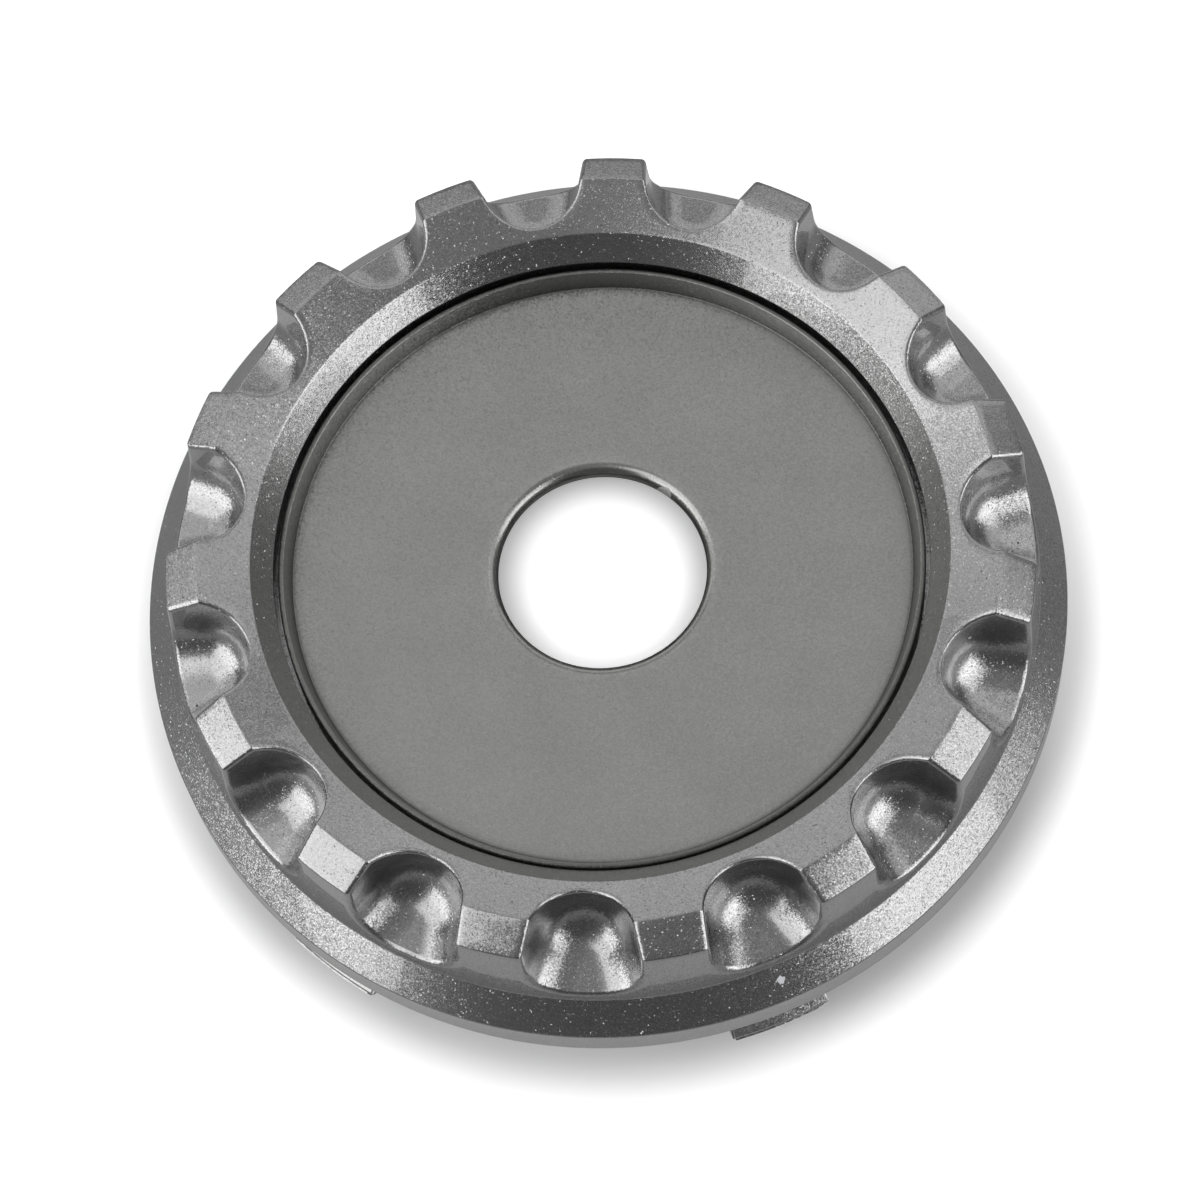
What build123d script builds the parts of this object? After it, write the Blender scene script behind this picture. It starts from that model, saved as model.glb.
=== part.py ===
from build123d import *
import math
import os

os.makedirs("parts", exist_ok=True)

# Wheel centre cap, resting on the tips of its snap legs: +Z is the outward face,
# the origin is the middle of the circle on which the leg tips stand.

# Flange, the widest circle of the cap
flange_diameter = 75.0
flange_side = 3.25
flange_cone_width = 2.30
flange_cone_drop = 2.65

# Toothed ring, from its outer wall inwards
outer_wall_height = 7.53
outer_wall_draft = 4.6
outer_bevel_width = 2.74
outer_bevel_drop = 1.57
dished_face_width = 4.03
dished_face_drop = 1.95
inner_bevel_width = 1.55
inner_bevel_drop = 2.17

# Notches between the teeth
tooth_count = 15
notch_reach = 3.13
notch_end_radius = 4.1
notch_flare = 16.3
notch_draft = 3.0
notch_floor_depth = 6.9
notch_lip_depth = 7.95
notch_floor_radius = 3.4
notch_floor_flare = 12.4
notch_floor_margin = 0.35

# Well for the badge plate
well_depth = 3.48
ledge_width = 2.8
ledge_thickness = 1.8

# Badge plate
plate_clearance = 0.33
plate_height = 3.1
plate_rim_land = 0.2
plate_rim_slope = 0.8
plate_floor_thickness = 1.4
plate_floor_chamfer = 0.5
plate_hole_diameter = 16.84
plate_hole_chamfer = 0.6

# Hollow back of the moulding
inner_wall_thickness = 1.72
skirt_drop = 3.1
notch_floor_thickness = 1.6
core_roof_thickness = 1.9
core_wall = 1.5
core_draft = 2.0
core_spread = 28.0
rib_thickness = 1.4
rib_drop = 2.6

# Snap legs
leg_count = 6
leg_width = 7.8
leg_thickness = 2.0
leg_length = 9.0
leg_first_angle = 54.0
leg_tip_thickness = 1.1
leg_root_step = 0.3
barb_reach = 2.35
barb_height = 4.2
barb_land = 0.4
barb_back_rise = 1.7

# Wire ring that spreads the legs
wire_diameter = 1.6
wire_clearance = 0.05
wire_seat_depth = 1.1
wire_gap_angle = 9.0
wire_gap_place = 84.0
wire_sides = 8

# Heights above the leg tips
flange_bottom = leg_length
flange_edge = flange_bottom + flange_side
wall_foot = flange_edge + flange_cone_drop
shoulder_height = wall_foot + outer_wall_height
crest_height = shoulder_height + outer_bevel_drop
dish_foot_height = crest_height - dished_face_drop
well_mouth_height = dish_foot_height - inner_bevel_drop
seat_height = well_mouth_height - well_depth
ledge_bottom = seat_height - ledge_thickness
skirt_bottom = ledge_bottom - skirt_drop
channel_roof = crest_height - notch_lip_depth - notch_floor_thickness
wire_height = barb_height - barb_land

# Radii
flange_radius = flange_diameter / 2
foot_radius = flange_radius - flange_cone_width
shoulder_radius = foot_radius - outer_wall_height * math.tan(math.radians(outer_wall_draft))
crest_radius = shoulder_radius - outer_bevel_width
dish_foot_radius = crest_radius - dished_face_width
well_radius = dish_foot_radius - inner_bevel_width
ledge_radius = well_radius - ledge_width
channel_inner_radius = well_radius + inner_wall_thickness
leg_outer_radius = shoulder_radius
leg_inner_radius = leg_outer_radius - leg_thickness
channel_outer_radius = leg_inner_radius - leg_root_step
notch_apex_radius = crest_radius - notch_reach
notch_centre_radius = notch_apex_radius + notch_end_radius
plate_radius = well_radius - plate_clearance
wire_radius = wire_diameter / 2
wire_seat_radius = wire_radius + wire_clearance
wire_ring_radius = leg_inner_radius + wire_seat_depth - wire_seat_radius

tooth_pitch = 360 / tooth_count
first_tooth_angle = 90.0
past = 2.0


# Face in the plane through +X and the axis, from radius and height pairs
def section(points):
    return make_face(Polyline(*[(radius, 0, height) for radius, height in points], close=True))


def around(shape, angles):
    return [Rot(0, 0, angle) * shape for angle in angles]


def tooth_angles():
    return [first_tooth_angle + tooth_pitch * index for index in range(tooth_count)]


def notch_angles():
    return [angle + tooth_pitch / 2 for angle in tooth_angles()]


def leg_angles():
    return [leg_first_angle + 360 / leg_count * index for index in range(leg_count)]


# Toothed ring before its notches, with the flange, the ledge and the channel behind
def ring_blank():
    return revolve(section([
        (ledge_radius, seat_height),
        (well_radius, seat_height),
        (well_radius, well_mouth_height),
        (dish_foot_radius, dish_foot_height),
        (crest_radius, crest_height),
        (shoulder_radius, shoulder_height),
        (foot_radius, wall_foot),
        (flange_radius, flange_edge),
        (flange_radius, flange_bottom),
        (channel_outer_radius, flange_bottom),
        (channel_outer_radius, channel_roof),
        (channel_inner_radius, channel_roof),
        (channel_inner_radius, skirt_bottom),
        (well_radius, skirt_bottom),
        (well_radius, ledge_bottom),
        (ledge_radius, ledge_bottom),
    ]), Axis.Z)


# Plan of a notch: a round end with two flared sides that run out past the wall
def notch_plan(height):
    flare = math.radians(notch_flare)
    side_x = notch_centre_radius - notch_end_radius * math.sin(flare)
    side_y = notch_end_radius * math.cos(flare)
    mouth_x = flange_radius + past
    mouth_y = side_y + (mouth_x - side_x) * math.tan(flare)
    return make_face([
        Line((mouth_x, -mouth_y, height), (side_x, -side_y, height)),
        ThreePointArc((side_x, -side_y, height), (notch_apex_radius, 0, height), (side_x, side_y, height)),
        Line((side_x, side_y, height), (mouth_x, mouth_y, height)),
        Line((mouth_x, mouth_y, height), (mouth_x, -mouth_y, height)),
    ])


# Cross-section of the trough that rounds a notch's floor into its sides
def trough_section(x, half_width, floor_height):
    top = crest_height + past
    corner = notch_floor_radius
    flat = half_width - corner
    low = floor_height + corner
    bend = corner * math.sqrt(0.5)
    return make_face([
        Line((x, -half_width, top), (x, -half_width, low)),
        ThreePointArc((x, -half_width, low), (x, -flat - bend, low - bend), (x, -flat, floor_height)),
        Line((x, -flat, floor_height), (x, flat, floor_height)),
        ThreePointArc((x, flat, floor_height), (x, flat + bend, low - bend), (x, half_width, low)),
        Line((x, half_width, low), (x, half_width, top)),
        Line((x, half_width, top), (x, -half_width, top)),
    ])


def notch():
    deepest = crest_height - notch_lip_depth - past
    top = crest_height + past
    draft_growth = (top - crest_height) * math.tan(math.radians(notch_draft))
    prism = extrude(notch_plan(crest_height), amount=deepest - crest_height, taper=notch_draft)
    cap = extrude(notch_plan(crest_height), amount=past, taper=-notch_draft)
    floor_slope = (notch_lip_depth - notch_floor_depth) / (foot_radius - notch_apex_radius)
    near_x = notch_apex_radius - past
    far_x = flange_radius + past + draft_growth
    near_width = notch_floor_radius + notch_floor_margin
    far_width = near_width + (far_x - near_x) * math.tan(math.radians(notch_floor_flare))
    near_floor = crest_height - notch_floor_depth + floor_slope * past
    far_floor = near_floor - floor_slope * (far_x - near_x)
    trough = loft([
        trough_section(near_x, near_width, near_floor),
        trough_section(far_x, far_width, far_floor),
    ], ruled=True)
    return (prism + cap) & trough


# Core that hollows one tooth from behind, one wall away from the round ends of the notches beside it
def tooth_core():
    half_pitch = math.radians(tooth_pitch / 2)
    spread = math.radians(core_spread)
    standoff = notch_end_radius + core_wall
    centre_x = notch_centre_radius * math.cos(half_pitch)
    centre_y = notch_centre_radius * math.sin(half_pitch)
    near_x = centre_x - standoff * math.sin(spread)
    near_half = centre_y - standoff * math.cos(spread)
    far_x = channel_outer_radius
    far_half = centre_y - standoff
    dish_slope = dished_face_drop / dished_face_width
    roof = crest_height - core_roof_thickness - dish_slope * (crest_radius - near_x)
    plan = make_face(Polyline(
        (near_x, -near_half, channel_roof),
        (far_x, -far_half, channel_roof),
        (far_x, far_half, channel_roof),
        (near_x, near_half, channel_roof),
        close=True,
    ))
    return extrude(plan, amount=roof - channel_roof, taper=core_draft)


# Radial rib under one notch, between the inner wall and the outer wall
def rib():
    length = channel_outer_radius - channel_inner_radius + inner_wall_thickness
    block = Box(length, rib_thickness, rib_drop, align=(Align.MIN, Align.CENTER, Align.MAX))
    return Pos(channel_inner_radius - inner_wall_thickness / 2, 0, channel_roof) * block


# One snap leg: a sector of a turned hook, with the seat of the wire ring inside
def leg():
    leg_arc = 2 * math.degrees(math.asin(leg_width / 2 / leg_outer_radius))
    barb_radius = leg_outer_radius + barb_reach
    hook = section([
        (leg_inner_radius, flange_bottom + leg_thickness / 2),
        (leg_inner_radius, 0),
        (leg_inner_radius + leg_tip_thickness, 0),
        (barb_radius, barb_height - barb_land),
        (barb_radius, barb_height),
        (leg_outer_radius, barb_height + barb_back_rise),
        (leg_outer_radius, flange_bottom + leg_thickness / 2),
    ])
    seat_floor = wire_ring_radius + wire_seat_radius
    seat_mouth = leg_inner_radius - wire_seat_radius
    seat = section([
        (seat_mouth, wire_height - wire_seat_radius * 2),
        (seat_mouth, wire_height + wire_seat_radius * 2),
        (seat_floor, wire_height + wire_seat_radius / 2),
        (seat_floor, wire_height - wire_seat_radius / 2),
    ])
    return Rot(0, 0, -leg_arc / 2) * revolve(hook - seat, Axis.Z, leg_arc)


def cap_body():
    body = ring_blank() - around(notch(), notch_angles())
    body -= around(tooth_core(), tooth_angles())
    body += around(rib(), notch_angles())
    body += around(leg(), leg_angles())
    return body


# How far one circle's centre and size are from another's
def foot_gap(edge, wanted):
    return abs(edge.center().Z - wanted.center().Z) + abs(edge.radius - wanted.radius)


# Dished plate with a centre hole, seated on the ledge
def badge_plate():
    floor_height = seat_height + plate_floor_thickness
    rim_height = seat_height + plate_height
    rim_inner = plate_radius - plate_rim_land
    hole_radius = plate_hole_diameter / 2
    plate = revolve(section([
        (hole_radius, seat_height),
        (plate_radius, seat_height),
        (plate_radius, rim_height),
        (rim_inner, rim_height),
        (rim_inner - plate_rim_slope, floor_height),
        (hole_radius, floor_height),
    ]), Axis.Z)
    circles = plate.edges().filter_by(GeomType.CIRCLE)
    floor_circles = [edge for edge in circles if abs(edge.center().Z - floor_height) < 0.001]
    hole_edge, foot_edge = sorted(floor_circles, key=lambda edge: edge.radius)
    plate = chamfer(hole_edge, plate_hole_chamfer)
    foot_edge = min(plate.edges().filter_by(GeomType.CIRCLE), key=lambda edge: foot_gap(edge, foot_edge))
    return chamfer(foot_edge, plate_floor_chamfer)


# Split ring of spring wire in the seats of the legs, its round section drawn with a few flats
def retaining_ring():
    wire = Plane.XZ * Pos(wire_ring_radius, wire_height) * RegularPolygon(wire_radius, wire_sides)
    return Rot(0, 0, wire_gap_place + wire_gap_angle / 2) * revolve(wire, Axis.Z, 360 - wire_gap_angle)


pieces = {
    "cap_body": cap_body(),
    "badge_plate": badge_plate(),
    "retaining_ring": retaining_ring(),
}
for name, piece in pieces.items():
    export_step(piece.solid(), f"parts/{name}.step")
    print(name, "solids", len(piece.solids()), "volume", round(piece.volume, 1), "valid", piece.is_valid)
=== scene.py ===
import math
import bmesh
import bpy
import numpy as np
from mathutils import Euler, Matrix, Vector


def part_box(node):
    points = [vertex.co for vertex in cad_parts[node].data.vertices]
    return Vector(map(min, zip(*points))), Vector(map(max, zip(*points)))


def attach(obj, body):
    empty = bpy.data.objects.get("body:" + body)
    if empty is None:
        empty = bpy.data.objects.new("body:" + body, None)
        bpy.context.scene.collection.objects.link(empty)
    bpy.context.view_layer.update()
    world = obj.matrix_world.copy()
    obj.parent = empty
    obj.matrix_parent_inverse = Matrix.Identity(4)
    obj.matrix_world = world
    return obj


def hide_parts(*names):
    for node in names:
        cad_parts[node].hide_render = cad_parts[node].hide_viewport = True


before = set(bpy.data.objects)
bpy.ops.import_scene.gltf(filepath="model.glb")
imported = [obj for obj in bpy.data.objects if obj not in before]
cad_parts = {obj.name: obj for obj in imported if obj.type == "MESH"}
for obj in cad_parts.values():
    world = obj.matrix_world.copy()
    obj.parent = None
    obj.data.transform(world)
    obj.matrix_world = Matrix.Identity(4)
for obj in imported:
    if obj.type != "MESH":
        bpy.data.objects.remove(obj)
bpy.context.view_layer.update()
bodyLow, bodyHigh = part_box("cap_body")
plateLow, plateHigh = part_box("badge_plate")
ringLow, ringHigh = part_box("retaining_ring")
mm = 0.001

# Moulding of the cap, mm
moulding = {
    "flangeSide": 3.25,
    "flangeConeWidth": 2.30,
    "flangeConeDrop": 2.65,
    "wallHeight": 7.53,
    "wallDraft": 4.6,
    "outerBevelWidth": 2.74,
    "outerBevelDrop": 1.57,
    "dishWidth": 4.03,
    "dishDrop": 1.95,
    "innerBevelWidth": 1.55,
    "innerBevelDrop": 2.17,
    "wellDepth": 3.48,
    "ledgeWidth": 2.8,
    "ledgeThickness": 1.8,
    "innerWall": 1.72,
    "skirtDrop": 3.1,
    "channelRadius": 32.294,
    "channelDepth": 9.55,
    "ribHalf": 0.7,
    "ribDrop": 2.6,
    "coreNear": 29.48,
    "coreNearHalf": 1.89,
    "coreFarHalf": 1.23,
    "coreRoof": 3.05,
    "coreDraft": 0.2,
    "mouthRound": 0.2,
    "dishFootRound": 0.4,
    "crestRound": 0.16,
    "shoulderRound": 0.2,
    "wallFootRound": 0.28,
    "flangeRound": 0.3,
    "ringSteps": 9,
}

# Notches between the teeth, mm and degrees
notch = {
    "toothCount": 15,
    "firstTooth": 90.0,
    "reach": 3.13,
    "endRadius": 4.1,
    "flare": 16.3,
    "draft": 3.0,
    "floorDepth": 6.9,
    "lipDepth": 7.95,
    "lipGuess": 3,
    "floorRadius": 3.4,
    "rimSize": 0.36,
    "rimFullness": 0.55,
    "rimFade": 0.55,
    "cornerGap": 0.05,
    "rimSteps": 4,
    "dishSteps": 18,
    "bevelSteps": 5,
    "wallSteps": 6,
    "filletSteps": 9,
    "floorSteps": 3,
    "skinSteps": 6,
}
# Rounds of the loops in which a height and a place find each other
settle, lipSettle = 8, 12

flangeRadius = min(bodyHigh.x, bodyHigh.y, -bodyLow.x, -bodyLow.y) / mm
crestHeight = bodyHigh.z / mm
footRadius = flangeRadius - moulding["flangeConeWidth"]
wallSlope = math.tan(math.radians(moulding["wallDraft"]))
shoulderRadius = footRadius - moulding["wallHeight"] * wallSlope
crestRadius = shoulderRadius - moulding["outerBevelWidth"]
dishFootRadius = crestRadius - moulding["dishWidth"]
wellRadius = dishFootRadius - moulding["innerBevelWidth"]
ledgeRadius = wellRadius - moulding["ledgeWidth"]
channelInner = wellRadius + moulding["innerWall"]
channelOuter = moulding["channelRadius"]
shoulderHeight = crestHeight - moulding["outerBevelDrop"]
wallFootHeight = shoulderHeight - moulding["wallHeight"]
flangeEdgeHeight = wallFootHeight - moulding["flangeConeDrop"]
flangeBottom = flangeEdgeHeight - moulding["flangeSide"]
dishFootHeight = crestHeight - moulding["dishDrop"]
mouthHeight = dishFootHeight - moulding["innerBevelDrop"]
seatHeight = mouthHeight - moulding["wellDepth"]
ledgeBottom = seatHeight - moulding["ledgeThickness"]
skirtBottom = ledgeBottom - moulding["skirtDrop"]
channelRoof = crestHeight - moulding["channelDepth"]


# Line through corners (radius, height, round), each corner with a round turned into an arc
def roundedLine(corners, steps=4, closed=False):
    line, marks = [], []
    count = len(corners)
    for index, corner in enumerate(corners):
        here = Vector(corner[:2])
        atEnd = not closed and index in (0, count - 1)
        if atEnd or corner[2] == 0:
            marks.append((len(line), len(line)))
            line.append(here)
            continue
        before = (Vector(corners[index - 1][:2]) - here).normalized()
        after = (Vector(corners[(index + 1) % count][:2]) - here).normalized()
        half = before.angle(after) / 2
        middle = here + (before + after).normalized() * corner[2] / math.sin(half)
        first = here + before * corner[2] / math.tan(half) - middle
        last = here + after * corner[2] / math.tan(half) - middle
        swing = first.angle(last)
        marks.append((len(line), len(line) + steps))
        for step in range(steps + 1):
            near = math.sin(swing * (1 - step / steps)) / math.sin(swing)
            far = math.sin(swing * step / steps) / math.sin(swing)
            line.append(middle + first * near + last * far)
    return line, marks


skinLine, skinMarks = roundedLine([
    (wellRadius, seatHeight, 0),
    (wellRadius, mouthHeight, moulding["mouthRound"]),
    (dishFootRadius, dishFootHeight, moulding["dishFootRound"]),
    (crestRadius, crestHeight, moulding["crestRound"]),
    (shoulderRadius, shoulderHeight, moulding["shoulderRound"]),
    (footRadius, wallFootHeight, moulding["wallFootRound"]),
    (flangeRadius, flangeEdgeHeight, moulding["flangeRound"]),
    (flangeRadius, flangeBottom, moulding["flangeRound"]),
    (channelOuter, flangeBottom, 0),
])
dishFootMark, crestMark, shoulderMark, wallFootMark = skinMarks[2:6]
skinRadii = np.array([point.x for point in skinLine])
skinHeights = np.array([point.y for point in skinLine])
skinRun = np.concatenate([[0.0], np.cumsum(np.hypot(np.diff(skinRadii), np.diff(skinHeights)))])
skinTop = slice(dishFootMark[1], shoulderMark[0] + 1)
skinSide = slice(shoulderMark[1], wallFootMark[0] + 1)


# Radius and height on the turned outside, by the length run along its section
def onSection(run):
    return float(np.interp(run, skinRun, skinRadii)), float(np.interp(run, skinRun, skinHeights))


def skinPoint(run, turn):
    radius, height = onSection(run)
    return Vector((radius * math.cos(turn), radius * math.sin(turn), height))


def runAtRadius(radius):
    return float(np.interp(radius, skinRadii[skinTop], skinRun[skinTop]))


def runAtHeight(height):
    return float(np.interp(-height, -skinHeights[skinSide], skinRun[skinSide]))


def wallRadiusAt(height):
    return shoulderRadius + (shoulderHeight - height) * wallSlope


# Plan of half a notch in its own frame: x outwards through the notch, y towards the next tooth
flare = math.radians(notch["flare"])
draft = math.radians(notch["draft"])
endRadius = notch["endRadius"]
endCentre = crestRadius - notch["reach"] + endRadius
apexRadius = endCentre - endRadius
flareWay = Vector((math.cos(flare), math.sin(flare)))
flareIn = Vector((math.sin(flare), -math.cos(flare)))
flareStart = Vector((endCentre, 0)) - flareIn * endRadius
arcLength = endRadius * (math.pi / 2 - flare)
floorSlope = (notch["lipDepth"] - notch["floorDepth"]) / (footRadius - apexRadius)
rim = notch["rimSize"]


# Point of the plan at a length from the apex, moved inwards from the outline
def planPoint(length, inset):
    if length <= arcLength:
        swing, arm = length / endRadius, endRadius - inset
        return Vector((endCentre - arm * math.cos(swing), arm * math.sin(swing)))
    return flareStart + flareIn * inset + flareWay * (length - arcLength)


def planInward(length):
    swing = min(length, arcLength) / endRadius
    return Vector((math.cos(swing), -math.sin(swing)))


# Length along the plan at which the moved outline reaches a radius
def planLength(radius, inset):
    arm = endRadius - inset
    start = flareStart + flareIn * inset
    if radius <= start.length:
        cosine = (endCentre ** 2 + arm ** 2 - radius ** 2) / (2 * endCentre * arm)
        return endRadius * math.acos(max(-1.0, min(1.0, cosine)))
    ahead = start.dot(flareWay)
    return arcLength - ahead + math.sqrt(ahead ** 2 - start.length_squared + radius ** 2)


def insetAt(height):
    return (crestHeight - height) * math.tan(draft)


def floorAt(x):
    return crestHeight - notch["floorDepth"] - floorSlope * (x - apexRadius)


# Inset and height on the notch's wall, fillet or floor; part runs 0..1 in each
def bowl(zone, part, top, x, inmost):
    radius = notch["floorRadius"]
    floor = floorAt(x)
    centre = radius / math.cos(draft) + (crestHeight - floor - radius) * math.tan(draft)
    if zone == "wall":
        height = top + (floor + radius * (1 - math.sin(draft)) - top) * part
        return insetAt(height), height
    if zone == "fillet":
        swing = draft + (math.pi / 2 - draft) * part
        return centre - radius * math.cos(swing), floor + radius * (1 - math.sin(swing))
    return centre + (inmost - centre) * part, floor


# Where the surface of the notch meets a circle drawn back from the outer wall
def lipPoint(zone, part, top, drawn):
    place = Vector((footRadius - drawn, 0))
    length = arcLength + notch["lipGuess"]
    for _ in range(lipSettle):
        inmost = endRadius + (length - arcLength) * math.tan(flare)
        inset, height = bowl(zone, part, top, place.x, inmost)
        length = planLength(wallRadiusAt(height) - drawn, inset)
        place = planPoint(length, inset)
    return Vector((place.x, max(place.y, 0), height)), length


def bowlPoint(zone, part, top, length):
    place = planPoint(length, 0)
    for _ in range(settle):
        inmost = endRadius + max(length - arcLength, 0) * math.tan(flare)
        inset, height = bowl(zone, part, top, place.x, inmost)
        place = planPoint(length, inset)
    return Vector((place.x, place.y, height))


# Corner of the skin line drawn back by the size of the rim
def drawnCorner(before, here, after):
    first = (here - before).normalized()
    second = (after - here).normalized()
    normals = Vector((-first.y, first.x)) + Vector((-second.y, second.x))
    return here - normals * rim / (1 + first.dot(second))


cornerLine = [Vector(pair) for pair in (
    (dishFootRadius, dishFootHeight), (crestRadius, crestHeight),
    (shoulderRadius, shoulderHeight), (footRadius, wallFootHeight))]
innerCrest = drawnCorner(*cornerLine[:3])
innerShoulder = drawnCorner(*cornerLine[1:])
dishSlope = moulding["dishDrop"] / moulding["dishWidth"]
bevelSlope = moulding["outerBevelDrop"] / moulding["outerBevelWidth"]


def innerHeight(radius):
    if radius <= innerCrest.x:
        return innerCrest.y - (innerCrest.x - radius) * dishSlope
    return innerCrest.y - (radius - innerCrest.x) * bevelSlope


def innerPoint(length):
    height = crestHeight - 1
    for _ in range(settle):
        place = planPoint(length, insetAt(height))
        height = innerHeight(place.length)
    return Vector((place.x, place.y, height))


def edgePoint(length):
    height = crestHeight - 1
    for _ in range(settle):
        place = planPoint(length, insetAt(height))
        height = onSection(runAtRadius(place.length))[1]
    return Vector((place.x, place.y, height)), runAtRadius(place.length)


def edgeAtRun(run):
    radius, height = onSection(run)
    length = planLength(radius, insetAt(height))
    place = planPoint(length, insetAt(height))
    return Vector((place.x, place.y, height)), length


# Stations round half a notch: point on the edge, (run, turn) on the skin, point on the notch's wall
crestRuns = [skinRun[index] for index in range(crestMark[0], crestMark[1] + 1)]
shoulderRuns = [skinRun[index] for index in range(shoulderMark[0], shoulderMark[1] + 1)]
cornerGap = notch["cornerGap"]
crestStartLength = edgeAtRun(crestRuns[0])[1]
crestEndLength = edgeAtRun(crestRuns[-1])[1]
shoulderStartLength = edgeAtRun(shoulderRuns[0])[1]
innerCrestLength = planLength(innerCrest.x, insetAt(innerCrest.y))
innerShoulderLength = planLength(innerShoulder.x, insetAt(innerShoulder.y))
outerKnots = [0, crestStartLength, crestEndLength, shoulderStartLength]
innerKnots = [0, innerCrestLength - cornerGap, innerCrestLength + cornerGap,
              innerShoulderLength - 2 * cornerGap]

stations = []
for step in range(notch["dishSteps"]):
    length = crestStartLength * step / notch["dishSteps"]
    edge, run = edgePoint(length)
    inward = planInward(length)
    outwards = Vector((edge.x, edge.y)).normalized()
    late = (length / crestStartLength - notch["rimFade"]) / (1 - notch["rimFade"])
    fade = 1 - max(0.0, min(1.0, late)) ** 2
    sideways = abs(outwards.x * inward.y - outwards.y * inward.x)
    turn = math.atan2(edge.y, edge.x) + sideways * rim / edge.xy.length
    inner = innerPoint(float(np.interp(length, outerKnots, innerKnots)))
    stations.append((edge, (run - inward.dot(outwards) * rim * fade, turn), inner))
bevelRuns = list(np.linspace(crestRuns[-1], shoulderRuns[0], notch["bevelSteps"] + 1))[1:-1]
cornerStep = len(shoulderRuns) // 2
for run in crestRuns + bevelRuns + shoulderRuns[:cornerStep + 1]:
    edge, length = edgeAtRun(run)
    inner = float(np.interp(length, outerKnots, innerKnots))
    if run in shoulderRuns:
        inner = innerShoulderLength - (cornerStep - shoulderRuns.index(run)) * cornerGap
    turn = math.atan2(edge.y, edge.x) + rim / edge.xy.length
    stations.append((edge, (run, turn), innerPoint(inner)))
cornerStation = len(stations) - 1
cornerInner = stations[cornerStation][2]

# The rows down the outer wall and round the lip are also the rows of the bowl
rows = []
lowWall = lipPoint("wall", 1.0, cornerInner.z, rim)[0].z
for step in range(1, len(shoulderRuns) - cornerStep):
    part = cornerGap * step / (cornerInner.z - lowWall)
    rows.append(("wall", part, shoulderRuns[cornerStep + step]))
firstPart = rows[-1][1]
for step in range(1, notch["wallSteps"] + 1):
    rows.append(("wall", firstPart + (1 - firstPart) * step / notch["wallSteps"], None))
for zone, steps in (("fillet", notch["filletSteps"]), ("floor", notch["floorSteps"])):
    rows += [(zone, step / steps, None) for step in range(1, steps + 1)]
lipLengths = [innerShoulderLength]
wallRows = len([row for row in rows if row[0] == "wall"])
for zone, part, run in rows:
    inner, length = lipPoint(zone, part, cornerInner.z, rim)
    lipLengths.append(length)
    if run is None:
        edge = lipPoint(zone, part, cornerInner.z, 0)[0]
        run = runAtHeight(edge.z)
    else:
        edge = edgeAtRun(run)[0]
    bend = draft + (math.pi / 2 - draft) * part
    swing = {"wall": 0.0, "fillet": bend, "floor": math.pi / 2}[zone]
    turn = math.atan2(edge.y, edge.x) + rim * math.cos(swing) / edge.xy.length
    stations.append((edge, (run + rim * math.sin(swing), turn), inner))
print("stations round half a notch:", len(stations))

points = []
faces = []


# Quads over a grid of points given as rows
def addGrid(grid):
    start = len(points)
    width = len(grid[0])
    points.extend(point for row in grid for point in row)
    for row in range(len(grid) - 1):
        for column in range(width - 1):
            corner = start + row * width + column
            faces.append((corner, corner + 1, corner + width + 1, corner + width))


# Rim strip, rounded between the skin and the notch's wall
rimGrid = []
for edge, place, inner in stations:
    outer = skinPoint(*place)
    row = []
    for step in range(notch["rimSteps"] + 1):
        part = step / notch["rimSteps"]
        pull = outer.lerp(edge, notch["rimFullness"]), inner.lerp(edge, notch["rimFullness"])
        low, high = 1 - part, part
        middle = pull[0] * 3 * low ** 2 * high + pull[1] * 3 * low * high ** 2
        row.append(outer * low ** 3 + middle + inner * high ** 3)
    row[-1] = inner
    rimGrid.append(row)
addGrid(rimGrid)

# Inside of the notch
bowlGrid = []
for edge, place, inner in stations[:cornerStation + 1]:
    inset = insetAt(inner.z)
    length = planLength(inner.xy.length, inset)
    share = (length - arcLength) / (innerShoulderLength - arcLength)
    column = [inner]
    for index, (zone, part, run) in enumerate(rows):
        if len(bowlGrid) == cornerStation:
            column.append(stations[cornerStation + 1 + index][2])
        elif share <= 0:
            column.append(bowlPoint(zone, part, inner.z, length))
        else:
            reached = arcLength + share * (lipLengths[index + 1] - arcLength)
            column.append(bowlPoint(zone, part, inner.z, reached))
    bowlGrid.append(column)
addGrid(bowlGrid)

# Skin of half a tooth, from the notch's rim out to the ring's two circles and the tooth's middle
halfPitch = math.pi / notch["toothCount"]
ringSteps = moulding["ringSteps"]
ringTurns = [halfPitch * step / ringSteps for step in range(ringSteps + 1)]
dishRun, crestRun = skinRun[dishFootMark[1]], crestRuns[0]
wallRun, footRun = stations[cornerStation + wallRows][1][0], skinRun[wallFootMark[0]]
climbs = notch["dishSteps"] - ringSteps
drops = notch["filletSteps"] + notch["floorSteps"] - ringSteps
border = [(dishRun, turn) for turn in ringTurns]
border += [(dishRun + (crestRun - dishRun) * step / climbs, halfPitch)
           for step in range(1, climbs + 1)]
toothSide = stations[notch["dishSteps"] + 1:cornerStation + wallRows]
border += [(place[0], halfPitch) for edge, place, inner in toothSide]
border += [(wallRun + (footRun - wallRun) * step / drops, halfPitch) for step in range(drops)]
border += [(footRun, turn) for turn in reversed(ringTurns)]
skinGrid = []
for (edge, place, inner), goal in zip(stations, border, strict=True):
    row = []
    for step in range(notch["skinSteps"] + 1):
        part = step / notch["skinSteps"]
        row.append(skinPoint(*(start + (end - start) * part for start, end in zip(place, goal))))
    skinGrid.append(row)
addGrid(skinGrid)


def ringRow(radius, height, turns=ringTurns):
    return [Vector((radius * math.cos(turn), radius * math.sin(turn), height)) for turn in turns]


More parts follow.
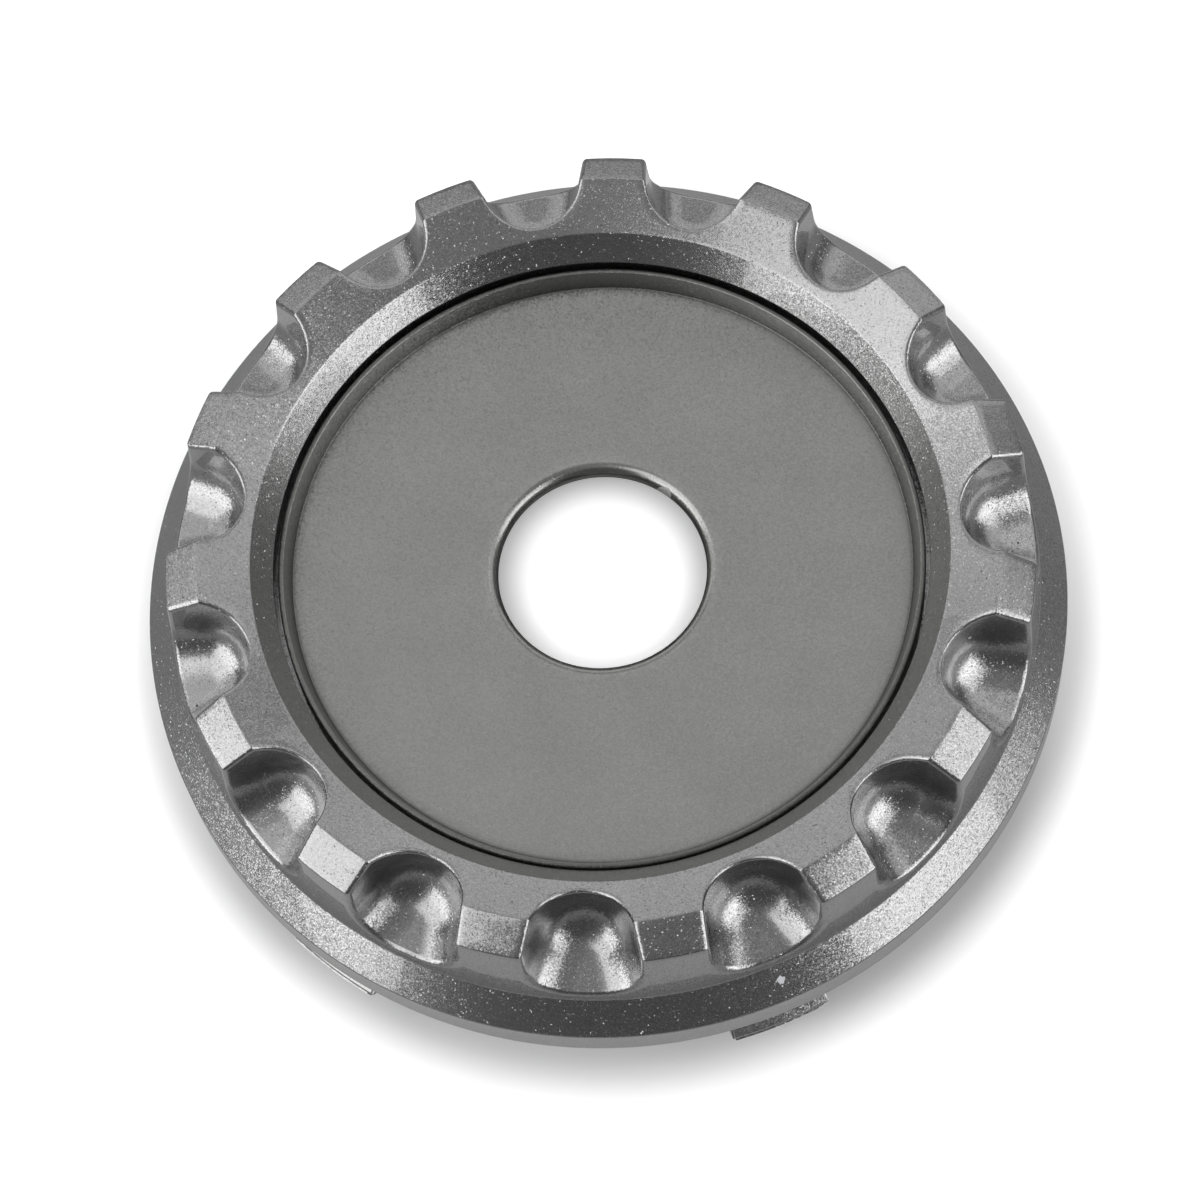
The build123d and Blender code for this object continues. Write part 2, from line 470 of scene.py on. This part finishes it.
# Turned bands inside the dish, down the well and under the ledge
bandLine = [(channelInner, skirtBottom), (wellRadius, skirtBottom), (wellRadius, ledgeBottom),
            (ledgeRadius, ledgeBottom), (ledgeRadius, seatHeight)]
bandLine += list(zip(skinRadii[:dishFootMark[1] + 1], skinHeights))

# Back: ribs under the notches and a core under each tooth, as cells with a roof height each
ribStep, coreStep = 1, ringSteps - 2


def backTurns(radius, coreTurn):
    ribTurn = math.asin(moulding["ribHalf"] / radius)
    turns = [0.0, ribTurn]
    spans = coreStep - ribStep
    turns += [ribTurn + (coreTurn - ribTurn) * step / spans for step in range(1, spans + 1)]
    turns += [(coreTurn + halfPitch) / 2, halfPitch]
    return turns


nearTurn = halfPitch - math.atan2(moulding["coreNearHalf"], moulding["coreNear"])
farTurn = halfPitch - math.asin(moulding["coreFarHalf"] / channelOuter)
backRings = [(radius, backTurns(radius, turn)) for radius, turn in (
    (channelInner, nearTurn), (moulding["coreNear"], nearTurn), (channelOuter, farTurn))]
levels = [None, channelRoof - moulding["ribDrop"], channelRoof, crestHeight - moulding["coreRoof"]]


def backPoint(ring, column, level, foot):
    radius, turns = backRings[ring]
    turn = turns[column]
    if ring == 1 and column >= coreStep:
        radius = moulding["coreNear"] / math.cos(halfPitch - turn)
    if level == 3:
        radius += moulding["coreDraft"] * (1 if ring == 1 else -1)
        turn += moulding["coreDraft"] / radius * (halfPitch - turn) / (halfPitch - turns[coreStep])
    height = foot if level == 0 else levels[level]
    return Vector((radius * math.cos(turn), radius * math.sin(turn), height))


def roofLevel(ring, column):
    if column < ribStep:
        return 1
    return 3 if ring == 1 and column >= coreStep else 2


for column in range(ringSteps):
    for ring in (0, 1):
        level = roofLevel(ring, column)
        addGrid([[backPoint(ring + side, column + step, level, 0) for step in (0, 1)]
                 for side in (0, 1)])
        other = roofLevel(ring, column + 1) if column + 1 < ringSteps else level
        for high in range(min(level, other), max(level, other)):
            addGrid([[backPoint(ring + side, column + 1, high + rise, 0) for side in (0, 1)]
                     for rise in (0, 1)])
    for high in range(roofLevel(0, column), roofLevel(1, column)):
        addGrid([[backPoint(1, column + step, high + rise, 0) for step in (0, 1)]
                 for rise in (0, 1)])
    for high in range(roofLevel(0, column)):
        addGrid([[backPoint(0, column + step, high + rise, skirtBottom) for step in (0, 1)]
                 for rise in (0, 1)])
    for high in range(roofLevel(1, column)):
        addGrid([[backPoint(2, column + step, high + rise, flangeBottom) for step in (0, 1)]
                 for rise in (0, 1)])
addGrid([ringRow(*bandLine[0], backRings[0][1])] + [ringRow(*pair) for pair in bandLine[1:]])
outwardLine = list(zip(skinRadii[wallFootMark[0]:], skinHeights[wallFootMark[0]:]))
lastRow = ringRow(*outwardLine[-1], backRings[2][1])
addGrid([ringRow(*pair) for pair in outwardLine[:-1]] + [lastRow])


def meshFrom(name, corners, polygons, scale=mm):
    mesh = bpy.data.meshes.new(name)
    mesh.from_pydata([tuple(scale * value for value in corner) for corner in corners], [], polygons)
    return mesh


def objectFrom(name, data):
    thing = bpy.data.objects.new(name, data)
    bpy.context.scene.collection.objects.link(thing)
    return thing


# Both halves of one pitch, welded; the distances are in m
weldDistance = 2e-6
sliver = 1e-7
mirrored = [Vector((point.x, -point.y, point.z)) for point in points]
mirroredFaces = [tuple(len(points) + index for index in reversed(face)) for face in faces]
pitchMesh = meshFrom("pitch", points + mirrored, faces + mirroredFaces)
weld = bmesh.new()
weld.from_mesh(pitchMesh)
bmesh.ops.remove_doubles(weld, verts=weld.verts, dist=weldDistance)
bmesh.ops.dissolve_degenerate(weld, edges=weld.edges, dist=sliver)
weld.to_mesh(pitchMesh)
weld.free()
print("one pitch:", len(pitchMesh.polygons), "faces")


# Adds nodes to a tree by kind, with a value or a link for each input named
def nodeTools(tree, family="ShaderNode"):
    def node(kind, values=None, **settings):
        made = tree.nodes.new(family + kind)
        for key, value in settings.items():
            setattr(made, key, value)
        for key, value in (values or {}).items():
            if isinstance(value, bpy.types.NodeSocket):
                tree.links.new(value, made.inputs[key])
            else:
                made.inputs[key].default_value = value
        return made

    return node


# Node tree that sets copies of its geometry round the axis and welds them
def patternTree():
    tree = bpy.data.node_groups.new("roundPattern", "GeometryNodeTree")
    face = tree.interface
    face.new_socket("Geometry", in_out="INPUT", socket_type="NodeSocketGeometry")
    for name, kind, value in (("Count", "NodeSocketInt", notch["toothCount"]),
                              ("First Angle", "NodeSocketFloat", 0.0),
                              ("Weld Distance", "NodeSocketFloat", weldDistance),
                              ("Material", "NodeSocketMaterial", None)):
        socket = face.new_socket(name, in_out="INPUT", socket_type=kind)
        if value is not None:
            socket.default_value = value
    face.new_socket("Geometry", in_out="OUTPUT", socket_type="NodeSocketGeometry")
    node = nodeTools(tree, "")
    source = node("NodeGroupInput").outputs
    index = node("GeometryNodeInputIndex").outputs[0]
    dots = node("GeometryNodePoints", {"Count": source["Count"]})
    pitch = node("ShaderNodeMath", {0: 2 * math.pi, 1: source["Count"]}, operation="DIVIDE")
    ahead = node("ShaderNodeMath", {0: pitch.outputs[0], 1: index}, operation="MULTIPLY")
    angle = node("ShaderNodeMath", {0: ahead.outputs[0], 1: source["First Angle"]}, operation="ADD")
    turn = node("FunctionNodeAxisAngleToRotation", {"Axis": (0, 0, 1), "Angle": angle.outputs[0]})
    copies = node("GeometryNodeInstanceOnPoints", {
        "Points": dots.outputs[0], "Instance": source["Geometry"], "Rotation": turn.outputs[0]})
    real = node("GeometryNodeRealizeInstances", {0: copies.outputs[0]})
    joined = node("GeometryNodeMergeByDistance", {
        "Geometry": real.outputs[0], "Distance": source["Weld Distance"]})
    paint = node("GeometryNodeSetMaterial", {
        "Geometry": joined.outputs[0], "Material": source["Material"]})
    node("NodeGroupOutput", {0: paint.outputs[0]})
    return tree


# Plain mesh of one piece set round the axis
def setRound(tree, mesh, count, firstAngle, material):
    thing = objectFrom("patterned", mesh)
    modifier = thing.modifiers.new("round", "NODES")
    modifier.node_group = tree
    values = {"Count": count, "First Angle": math.radians(firstAngle), "Material": material}
    for item in tree.interface.items_tree:
        if item.item_type == "SOCKET" and item.in_out == "INPUT" and item.name in values:
            modifier[item.identifier] = values[item.name]
    graph = bpy.context.evaluated_depsgraph_get()
    result = bpy.data.meshes.new_from_object(thing.evaluated_get(graph), depsgraph=graph)
    bpy.data.objects.remove(thing)
    return result


# Smooth faces with sharp folds kept and normals that favour the large faces
def finishMesh(name, mesh, fold=40.0):
    work = bmesh.new()
    work.from_mesh(mesh)
    bmesh.ops.recalc_face_normals(work, faces=work.faces)
    work.to_mesh(mesh)
    loose = sum(1 for edge in work.edges if len(edge.link_faces) != 2)
    work.free()
    mesh.shade_smooth()
    mesh.set_sharp_from_angle(angle=math.radians(fold))
    thing = objectFrom(name, mesh)
    modifier = thing.modifiers.new("weigh", "WEIGHTED_NORMAL")
    modifier.keep_sharp = True
    graph = bpy.context.evaluated_depsgraph_get()
    thing.data = bpy.data.meshes.new_from_object(thing.evaluated_get(graph), depsgraph=graph)
    thing.modifiers.clear()
    thing.data.name = name
    print(name, "faces", len(thing.data.polygons), "open edges", loose)
    return thing


def newMaterial(name):
    material = bpy.data.materials.new(name)
    material.use_nodes = True
    material.node_tree.nodes.clear()
    return material, nodeTools(material.node_tree)


def maths(node, operation, *values):
    return node("Math", dict(enumerate(values)), operation=operation).outputs[0]


def vector(node, operation, *values):
    made = node("VectorMath", dict(enumerate(values)), operation=operation)
    return made.outputs["Value" if operation in ("LENGTH", "DISTANCE") else "Vector"]


# Value that goes from low to high while another goes from start to end
def ramp(node, value, start, end, low, high, kind="LINEAR"):
    return node("MapRange", {"Value": value, "From Min": start, "From Max": end,
                             "To Min": low, "To Max": high}, interpolation_type=kind).outputs[0]


# Metallic paint under clear lacquer, lengths in m
paintValues = {
    "flakeTone": 0.33,
    "flakeSpread": 0.2,
    "flakeScale": 10500.0,
    "flakeTilt": 0.12,
    "flakeGlint": 0.9,
    "roughness": 0.27,
    "lacquer": 1.0,
    "lacquerRoughness": 0.035,
    "lacquerIor": 1.5,
    "peelScale": 420.0,
    "peelHeight": 0.000012,
    "markScale": 5000.0,
    "dirt": (0.02, 0.02, 0.02, 1),
    "barePlastic": (0.56, 0.56, 0.6, 1),
}

# Small marks of use on the paint: place, size in m, True where bare plastic shows through
paintMarks = [
    ((0.015005, -0.032931, 0.013756), 0.00034, True),
    ((0.014694, -0.032353, 0.014512), 0.00006, True),
    ((0.015396, -0.033935, 0.012517), 0.00006, True),
    ((0.029402, -0.006701, 0.020371), 0.00016, True),
    ((0.029902, -0.006901, 0.019700), 0.00012, True),
    ((0.018983, 0.018664, 0.020376), 0.00008, True),
    ((0.025805, 0.004896, 0.019743), 0.00007, True),
    ((-0.026159, -0.002337, 0.018141), 0.00007, True),
    ((0.031774, -0.006288, 0.019621), 0.00007, False),
    ((-0.032148, -0.011839, 0.016207), 0.00011, False),
    ((0.033326, 0.003136, 0.016330), 0.00010, False),
]

# Badge plate, mm
plateValues = {
    "rimLand": 0.44,
    "rimSlope": 0.55,
    "floorThickness": 1.4,
    "floorMargin": 4,
    "holeDiameter": 16.84,
    "holeRound": 0.9,
    "holeFootRound": 0.15,
    "footRound": 0.12,
    "landRound": 0.14,
    "crestRound": 0.3,
    "edgeRound": 0.25,
    "roundSteps": 5,
    "turnSteps": 240,
}

# Satin paint of the plate; the painted shade bands are (mm outwards from the foot or the land of
# the rim, share of the tone): painted shade in the crease at the foot of the rim and on its land.
# The edge is where the polish round the hole ends, in m
plateLook = {
    "tone": 0.325,
    "warmth": 0.97,
    "grainScale": 8000.0,
    "grainSpread": 0.12,
    "grainTilt": 0.2,
    "grainGlint": 0.2,
    "roughness": 0.42,
    "edge": (0.0093, 0.0099),
    "edgeTilt": 0.02,
    "edgeRoughness": 0.27,
    "footShade": ((-0.9, 1.0), (-0.3, 0.9), (0.0, 0.45), (0.15, 0.62)),
    "landShade": ((-0.05, 0.92), (0.1, 0.55)),
    "shadeLow": 23.9,
    "shadeHigh": 26.1,
    "flashPlace": (0.00484, 0.00694, 0.0168),
    "flashSize": 0.0007,
    "flashScale": 2600.0,
    "flashDepth": 1.7,
}

# Wire of the ring
steelValues = {
    "colour": (0.5, 0.5, 0.51, 1),
    "streakScale": 600.0,
    "streakSqueeze": 12.0,
    "roughness": (0.18, 0.42),
}

cloudScale = 180.0  # slow drift of the tone, common to both paints
cloudSpread = 0.03
glintRarity = 14.0
raggedness = 0.2


# Cells of slightly different tones
def tinted(node, coordinates, scale, tone, spread, warmth=1.0):
    cells = node("TexVoronoi", {"Vector": coordinates, "Scale": scale})
    chance = node("SeparateColor", {"Color": cells.outputs["Color"]}).outputs[0]
    clouds = node("TexNoise", {"Vector": coordinates, "Scale": cloudScale, "Detail": 1.0})
    drift = ramp(node, clouds.outputs["Fac"], 0.3, 0.7, 1 - cloudSpread, 1 + cloudSpread)
    level = ramp(node, chance, 0, 1, tone * (1 - spread), tone * (1 + spread))
    grey = maths(node, "MULTIPLY", level, drift)
    blue = maths(node, "MULTIPLY", grey, warmth)
    return cells, node("CombineColor", {0: grey, 1: grey, 2: blue}).outputs[0]


# Normal that leans its own way in each cell, much more in a few of them
def tilted(node, cells, amount, glint):
    normal = node("NewGeometry").outputs["Normal"]
    offset = vector(node, "SUBTRACT", cells.outputs["Color"], (0.5, 0.5, 0.5))
    chance = node("TexWhiteNoise", {"Vector": cells.outputs["Position"]}).outputs["Value"]
    lean = maths(node, "MULTIPLY_ADD", maths(node, "POWER", chance, glintRarity), glint, amount)
    scaled = node("VectorMath", {0: offset, "Scale": lean}, operation="SCALE").outputs[0]
    return vector(node, "NORMALIZE", vector(node, "ADD", normal, scaled))


# 1 within a patch round a place, with an edge made ragged by a noise
def markMask(node, coordinates, ragged, place, size):
    reach = ramp(node, ragged, 0.35, 0.65, (1 - raggedness) * size, (1 + raggedness) * size)
    return maths(node, "LESS_THAN", vector(node, "DISTANCE", coordinates, place), reach)


def silverPaint():
    material, node = newMaterial("silverPaint")
    values = paintValues
    coordinates = node("TexCoord").outputs["Object"]
    cells, colour = tinted(node, coordinates, values["flakeScale"], values["flakeTone"],
                           values["flakeSpread"])
    ragged = node("TexNoise", {"Vector": coordinates, "Scale": values["markScale"], "Detail": 2.0})
    masks = {}
    for place, size, bare in paintMarks:
        mask = markMask(node, coordinates, ragged.outputs["Fac"], place, size)
        masks[bare] = maths(node, "MAXIMUM", masks[bare], mask) if bare in masks else mask
    for bare, mark in ((False, values["dirt"]), (True, values["barePlastic"])):
        colour = node("Mix", {0: masks[bare], 6: colour, 7: mark}, data_type="RGBA").outputs[2]
    painted = maths(node, "SUBTRACT", 1.0, masks[True])
    peel = node("TexNoise", {"Vector": coordinates, "Scale": values["peelScale"], "Detail": 0.0})
    lacquer = node("Bump", {"Height": peel.outputs["Fac"], "Distance": values["peelHeight"],
                            "Strength": 1.0})
    paint = node("BsdfPrincipled", {
        "Base Color": colour,
        "Metallic": painted,
        "Roughness": values["roughness"],
        "Normal": tilted(node, cells, values["flakeTilt"], values["flakeGlint"]),
        "Coat Weight": maths(node, "MULTIPLY", painted, values["lacquer"]),
        "Coat Roughness": values["lacquerRoughness"],
        "Coat IOR": values["lacquerIor"],
        "Coat Normal": lacquer.outputs[0],
    })
    node("OutputMaterial", {"Surface": paint.outputs[0]})
    return material


def platePaint():
    material, node = newMaterial("platePaint")
    values = plateLook
    coordinates = node("TexCoord").outputs["Object"]
    cells, colour = tinted(node, coordinates, values["grainScale"], values["tone"],
                           values["grainSpread"], values["warmth"])
    radius = vector(node, "LENGTH", vector(node, "MULTIPLY", coordinates, (1, 1, 0)))
    # Painted shade by radius: darker towards the foot of the rim, darkest in the crease at its
    # foot, lighter up the slope, darker again on the land
    across = ramp(node, radius, values["shadeLow"] * mm, values["shadeHigh"] * mm, 0, 1)
    shadeRamp = node("ValToRGB", {0: across})
    slopeFoot = landRadius - plateValues["rimSlope"]
    stops = [(slopeFoot + reach, tone) for reach, tone in values["footShade"]]
    stops += [(landRadius + reach, tone) for reach, tone in values["landShade"]]
    elements = shadeRamp.color_ramp.elements
    while len(elements) < len(stops):
        elements.new(0.5)
    for element, (place, tone) in zip(elements, stops):
        element.position = (place - values["shadeLow"]) / (values["shadeHigh"] - values["shadeLow"])
        element.color = (tone, tone, tone, 1)
    lumps = node("TexNoise", {"Vector": coordinates, "Scale": values["flashScale"], "Detail": 2.0})
    fac = lumps.outputs["Fac"]
    flash = markMask(node, coordinates, fac, values["flashPlace"], values["flashSize"])
    worn = maths(node, "MULTIPLY", fac, flash)
    metal = node("Math", {0: worn, 1: -values["flashDepth"], 2: 1.0}, operation="MULTIPLY_ADD",
                 use_clamp=True)
    lean = ramp(node, radius, *values["edge"], values["edgeTilt"], values["grainTilt"])
    polish = ramp(node, radius, *values["edge"], values["edgeRoughness"], values["roughness"])
    paint = node("BsdfPrincipled", {
        "Base Color": vector(node, "MULTIPLY", colour, shadeRamp.outputs[0]),
        "Metallic": metal.outputs[0],
        "Roughness": polish,
        "Normal": tilted(node, cells, lean, values["grainGlint"]),
    })
    node("OutputMaterial", {"Surface": paint.outputs[0]})
    return material


def springSteel():
    material, node = newMaterial("springSteel")
    values = steelValues
    coordinates = node("TexCoord").outputs["Object"]
    squeeze = node("Mapping", {"Vector": coordinates, "Scale": (1, 1, values["streakSqueeze"])})
    streaks = node("TexNoise", {"Vector": squeeze.outputs[0], "Scale": values["streakScale"],
                                "Detail": 4.0})
    rough = ramp(node, streaks.outputs["Fac"], 0, 1, *values["roughness"])
    paint = node("BsdfPrincipled", {"Base Color": values["colour"], "Metallic": 1.0,
                                    "Roughness": rough})
    node("OutputMaterial", {"Surface": paint.outputs[0]})
    return material


plateRadius = plateHigh.x / mm
landRadius = plateRadius - plateValues["rimLand"]
silver, matt, steel = silverPaint(), platePaint(), springSteel()
print("paints:", silver.name, matt.name, steel.name)


# Closed section of (radius, height) turned about the axis, right round or through a part of it
def turned(name, line, steps, first=0.0, sweep=2 * math.pi):
    whole = abs(sweep - 2 * math.pi) < 1e-6
    count = steps if whole else steps + 1
    size = len(line)
    corners = []
    for step in range(count):
        turn = first + sweep * step / steps
        corners += [(radius * math.cos(turn), radius * math.sin(turn), height)
                    for radius, height in line]
    polygons = []
    for step in range(steps):
        here, after = step * size, (step + 1) % count * size
        for index in range(size):
            beside = (index + 1) % size
            polygons.append((here + index, after + index, after + beside, here + beside))
    if not whole:
        polygons += [tuple(range(size)), tuple(reversed(range((count - 1) * size, count * size)))]
    return meshFrom(name, corners, polygons)


# Snap legs, mm and degrees, with the smallest fold that is rounded in radians
legValues = {
    "count": 6,
    "width": 7.8,
    "thickness": 2.0,
    "firstAngle": 54.0,
    "tipThickness": 1.1,
    "barbReach": 2.35,
    "barbHeight": 4.2,
    "barbLand": 0.4,
    "barbRise": 1.7,
    "edgeRound": 0.2,
    "edgeFold": 0.6,
    "edgeSteps": 3,
    "rootDepth": 0.6,
    "seatSteps": 8,
    "turnSteps": 14,
}

# Wire ring, mm and degrees
ringValues = {
    "gapAngle": 9.0,
    "gapPlace": 84.0,
    "seatClearance": 0.05,
    "turnSteps": 234,
    "wireSteps": 20,
}

pattern = patternTree()
toothedMesh = setRound(pattern, pitchMesh, notch["toothCount"],
                       notch["firstTooth"] + math.degrees(halfPitch), silver)

# One snap leg: a hooked section swept round the axis, its edges rounded
wireRadius = (ringHigh.z - ringLow.z) / mm / 2
wireHeight = (ringHigh.z + ringLow.z) / mm / 2
wireCircle = ringHigh.y / mm - wireRadius
legInner = shoulderRadius - legValues["thickness"]
legTop = flangeBottom + legValues["rootDepth"]
barbRadius = shoulderRadius + legValues["barbReach"]
barbHeight = legValues["barbHeight"]
seatRadius = wireRadius + ringValues["seatClearance"]
seatReach = wireCircle - legInner
seatHalf = math.sqrt(seatRadius ** 2 - seatReach ** 2)
hook = [
    (legInner, 0),
    (legInner + legValues["tipThickness"], 0),
    (barbRadius, barbHeight - legValues["barbLand"]),
    (barbRadius, barbHeight),
    (shoulderRadius, barbHeight + legValues["barbRise"]),
    (shoulderRadius, legTop),
    (legInner, legTop),
]
seatStart = math.atan2(seatHalf, -seatReach)
for step in range(legValues["seatSteps"] + 1):
    swing = seatStart - 2 * seatStart * step / legValues["seatSteps"]
    hook.append((wireCircle + seatRadius * math.cos(swing),
                 wireHeight + seatRadius * math.sin(swing)))
legTurn = math.asin(legValues["width"] / 2 / shoulderRadius)
legMesh = turned("leg", hook, legValues["turnSteps"], -legTurn, 2 * legTurn)
work = bmesh.new()
work.from_mesh(legMesh)
bmesh.ops.recalc_face_normals(work, faces=work.faces)
folds = [edge for edge in work.edges if edge.calc_face_angle(0) > legValues["edgeFold"]
         and edge.verts[0].co.z < flangeBottom * mm]
bmesh.ops.bevel(work, geom=folds, offset=legValues["edgeRound"] * mm,
                segments=legValues["edgeSteps"], affect="EDGES", clamp_overlap=True)
work.to_mesh(legMesh)
work.free()
legsMesh = setRound(pattern, legMesh, legValues["count"], legValues["firstAngle"], silver)

joined = bmesh.new()
joined.from_mesh(toothedMesh)
joined.from_mesh(legsMesh)
bodyMesh = bpy.data.meshes.new("body")
joined.to_mesh(bodyMesh)
joined.free()
bodyMesh.materials.append(silver)
body = finishMesh("capBody", bodyMesh)

plateBottom, plateTop = plateLow.z / mm, plateHigh.z / mm
plateFloor = plateBottom + plateValues["floorThickness"]
holeRadius = plateValues["holeDiameter"] / 2
plateLine = roundedLine([
    (holeRadius, plateBottom, plateValues["holeFootRound"]),
    (plateRadius, plateBottom, plateValues["edgeRound"]),
    (plateRadius, plateTop, plateValues["crestRound"]),
    (landRadius, plateTop, plateValues["landRound"]),
    (landRadius - plateValues["rimSlope"], plateFloor, plateValues["footRound"]),
    (landRadius - plateValues["floorMargin"], plateFloor, 0),
    (holeRadius + plateValues["floorMargin"], plateFloor, 0),
    (holeRadius, plateFloor, plateValues["holeRound"]),
], steps=plateValues["roundSteps"], closed=True)[0]
plateMesh = turned("plate", plateLine, plateValues["turnSteps"])
plateMesh.materials.append(matt)
plate = finishMesh("badgePlate", plateMesh)

gap = math.radians(ringValues["gapAngle"])
wireStart = math.radians(ringValues["gapPlace"]) + gap / 2
wireLine = []
for step in range(ringValues["wireSteps"]):
    swing = 2 * math.pi * step / ringValues["wireSteps"]
    wireLine.append((wireCircle + wireRadius * math.cos(swing),
                     wireHeight + wireRadius * math.sin(swing)))
wireMesh = turned("ring", wireLine, ringValues["turnSteps"], wireStart, 2 * math.pi - gap)
wireMesh.materials.append(steel)
ring = finishMesh("retainingRing", wireMesh)

for piece, solid, slot in ((body, "cap_body", "silver_paint"),
                           (plate, "badge_plate", "plate_paint"),
                           (ring, "retaining_ring", "spring_steel")):
    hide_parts(solid)
    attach(piece, "root")

# Camera: m, degrees and mm; it is rolled as the picture is
look = {
    "cameraPlace": (0.02170, -0.12034, 0.31054),
    "cameraTurn": 10.48,
    "cameraTilt": 22.20,
    "cameraRoll": -8.96,
    "lens": 118.53,
    "sensor": 36.0,
    "clipStart": 0.01,
    "worldLow": 0.115,
    "worldHigh": 0.32,
    "worldRise": (0.5, 0.9),
    "boxDistance": 1.0,
}
camera = objectFrom("camera", bpy.data.cameras.new("camera"))
camera.location = look["cameraPlace"]
turn = Euler((0, 0, math.radians(look["cameraTurn"]))).to_matrix()
tilt = Euler((math.radians(look["cameraTilt"]), 0, 0)).to_matrix()
roll = Euler((0, 0, math.radians(look["cameraRoll"]))).to_matrix()
camera.rotation_euler = (turn @ tilt @ roll).to_euler()
camera.data.lens = look["lens"]
camera.data.sensor_width = look["sensor"]
camera.data.clip_start = look["clipStart"]
bpy.context.scene.camera = camera

# Floor, m: an echo is its tone for every ray but the camera's, with painted light and shade in it:
# lighter close to the cap, darker far out.
# What the camera sees has a painted shadow close to the cap, is lifted to white further out, and in
# the hole is painted light, white with a painted grey rim of shade.
floorLook = {
    "half": 3,
    "tone": 0.97,
    "nearEcho": 0.48,
    "nearReach": (0.042, 0.052),
    "echo": 0.29,
    "farEcho": 0.12,
    "farReach": (0.08, 0.25),
    "capSeen": (-0.0005, 0.0039, 0.0),
    "shade": 0.88,
    "shadeReach": (0.0385, 0.042),
    "lift": 0.27,
    "liftReach": (0.0393, 0.0437),
    "holeSeen": (-0.0012, 0.0068, 0.0),
    "holeGlow": 1.0,
    "holeShade": 0.3,
    "holeReach": (0.0055, 0.0095),
    "holeEdge": (0.0095, 0.0105),
}
half = floorLook["half"]
floorCorners = [(-half, -half, 0), (half, -half, 0), (half, half, 0), (-half, half, 0)]
floorMesh = meshFrom("floor", floorCorners, [(0, 1, 2, 3)], 1)
floor = objectFrom("floor", floorMesh)
floorPaint, node = newMaterial("floorPaint")
spot = node("NewGeometry").outputs["Position"]
seen = node("LightPath").outputs["Is Camera Ray"]
fromAxis = vector(node, "LENGTH", spot)
fromCap = vector(node, "DISTANCE", spot, floorLook["capSeen"])
fromHole = vector(node, "DISTANCE", spot, floorLook["holeSeen"])
# Painted light and shade in what the cap reflects: the floor's tone lighter close to the cap,
# darker far out
echo = ramp(node, fromAxis, *floorLook["farReach"], floorLook["echo"], floorLook["farEcho"])
echo = ramp(node, fromAxis, *floorLook["nearReach"], floorLook["nearEcho"], echo)
tone = ramp(node, seen, 0, 1, echo, floorLook["tone"])
# Painted shadow for the camera, darker close to the cap, added to the lamps' own shadow
shade = ramp(node, fromCap, *floorLook["shadeReach"], floorLook["shade"], 1.0, "SMOOTHSTEP")
tone = maths(node, "MULTIPLY", tone, shade)
lift = ramp(node, fromCap, *floorLook["liftReach"], 0.0, floorLook["lift"], "SMOOTHSTEP")
# Painted light in the hole for the camera: the floor glows white there, with a painted grey rim of
# shade
glow = ramp(node, fromHole, *floorLook["holeReach"], floorLook["holeGlow"], floorLook["holeShade"],
            "SMOOTHSTEP")
glow = ramp(node, fromHole, *floorLook["holeEdge"], glow, 0.0)
hole = maths(node, "MULTIPLY", glow, seen)
colour = node("CombineColor", {0: tone, 1: tone, 2: tone})
surface = node("BsdfDiffuse", {"Color": colour.outputs[0]})
light = node("Emission", {"Strength": maths(node, "MULTIPLY_ADD", lift, seen, hole)})
both = node("AddShader", {0: surface.outputs[0], 1: light.outputs[0]})
node("OutputMaterial", {"Surface": both.outputs[0]})
floorMesh.materials.append(floorPaint)

# Softboxes: name, azimuth, elevation, width and height in degrees, level, seen in the paint
boxes = [
    ("leftLow", 207.5, 16.0, 52.0, 30.0, 2.5, True),
    ("leftHigh", 208.5, 48.0, 50.0, 34.0, 1.7, True),
    ("rightLow", 338.0, 12.5, 48.0, 24.0, 2.75, True),
    ("rightHigh", 339.0, 35.5, 46.0, 22.0, 1.75, True),
    ("farCard", 96.0, 26.0, 96.0, 27.0, 0.78, True),
    ("farLow", 92.0, 7.0, 120.0, 11.0, 0.5, True),
    ("leftSpill", 160.0, 33.0, 30.0, 42.0, 0.76, True),
    ("rightSpill", 25.0, 42.0, 38.0, 38.0, 0.68, True),
    ("topCard", 100.5, 68.0, 60.0, 36.0, 0.5, True),
    ("tableLamp", 95.0, 78.0, 28.0, 28.0, 5.0, False),
]
for name, azimuth, elevation, wide, tall, level, shown in boxes:
    lamp = bpy.data.lights.new(name, "AREA")
    lamp.shape = "RECTANGLE"
    lamp.size = 2 * look["boxDistance"] * math.tan(math.radians(wide / 2))
    lamp.size_y = 2 * look["boxDistance"] * math.tan(math.radians(tall / 2))
    lamp.energy = level * math.pi * lamp.size * lamp.size_y
    box = objectFrom(name, lamp)
    box.visible_glossy = shown
    across, up = math.radians(azimuth), math.radians(elevation)
    away = Vector((math.cos(across) * math.cos(up), math.sin(across) * math.cos(up), math.sin(up)))
    box.location = away * look["boxDistance"]
    box.rotation_euler = away.to_track_quat("Z", "Y").to_euler()
print("studio:", len(boxes), "lights")

# Dim room that is a little lighter overhead, white to the camera
world = bpy.data.worlds.new("studio")
bpy.context.scene.world = world
world.use_nodes = True
world.node_tree.nodes.clear()
node = nodeTools(world.node_tree)
height = node("SeparateXYZ", {0: node("TexCoord").outputs["Generated"]}).outputs["Z"]
room = ramp(node, height, *look["worldRise"], look["worldLow"], look["worldHigh"])
strength = ramp(node, node("LightPath").outputs["Is Camera Ray"], 0, 1, room, 1.0)
background = node("Background", {"Color": (1, 1, 1, 1), "Strength": strength})
node("OutputWorld", {"Surface": background.outputs[0]})
bpy.context.scene.view_settings.view_transform = "Standard"
